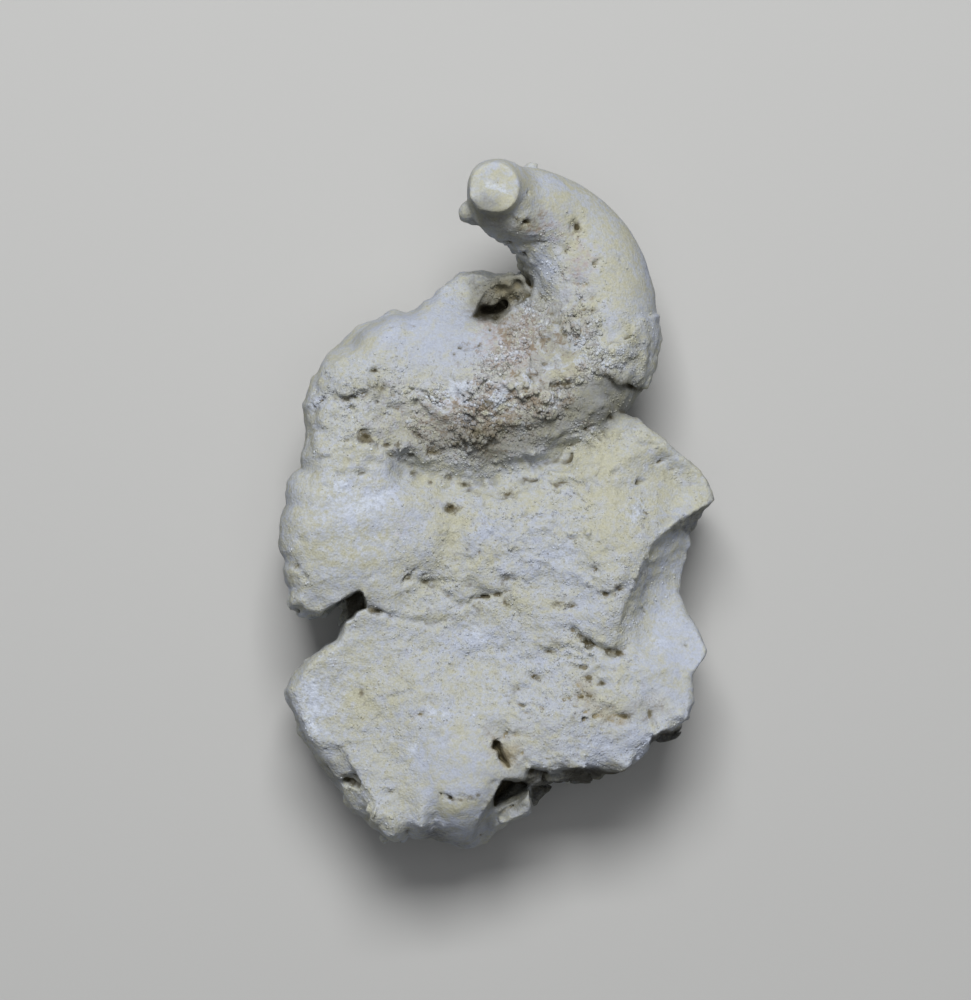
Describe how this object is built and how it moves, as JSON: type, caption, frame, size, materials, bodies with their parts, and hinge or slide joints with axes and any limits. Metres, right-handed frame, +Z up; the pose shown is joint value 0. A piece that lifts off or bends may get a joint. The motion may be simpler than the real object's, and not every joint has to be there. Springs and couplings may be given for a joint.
{
  "type": "fossil rudist clam in matrix",
  "caption": "Hand-sized fossil: a smooth, tapering, coiled rudist horn curling out of a rough block of pale limestone matrix, lying on its broad back.",
  "frame": {"origin": "centre of the plan's bounding box, on the resting plane under the specimen's back", "axes": "+Z up out of the specimen's face, +Y from the foot of the block towards the curled tip of the horn, +X towards the block's right shoulder"},
  "size_m": [0.076, 0.1184, 0.0443],
  "materials": {
    "limestone": "dry, matt, rough and sugary, with smoother worn shell casts"
  },
  "bodies": {
    "root": {"rudist_in_matrix": "limestone"}
  },
  "joints": []
}
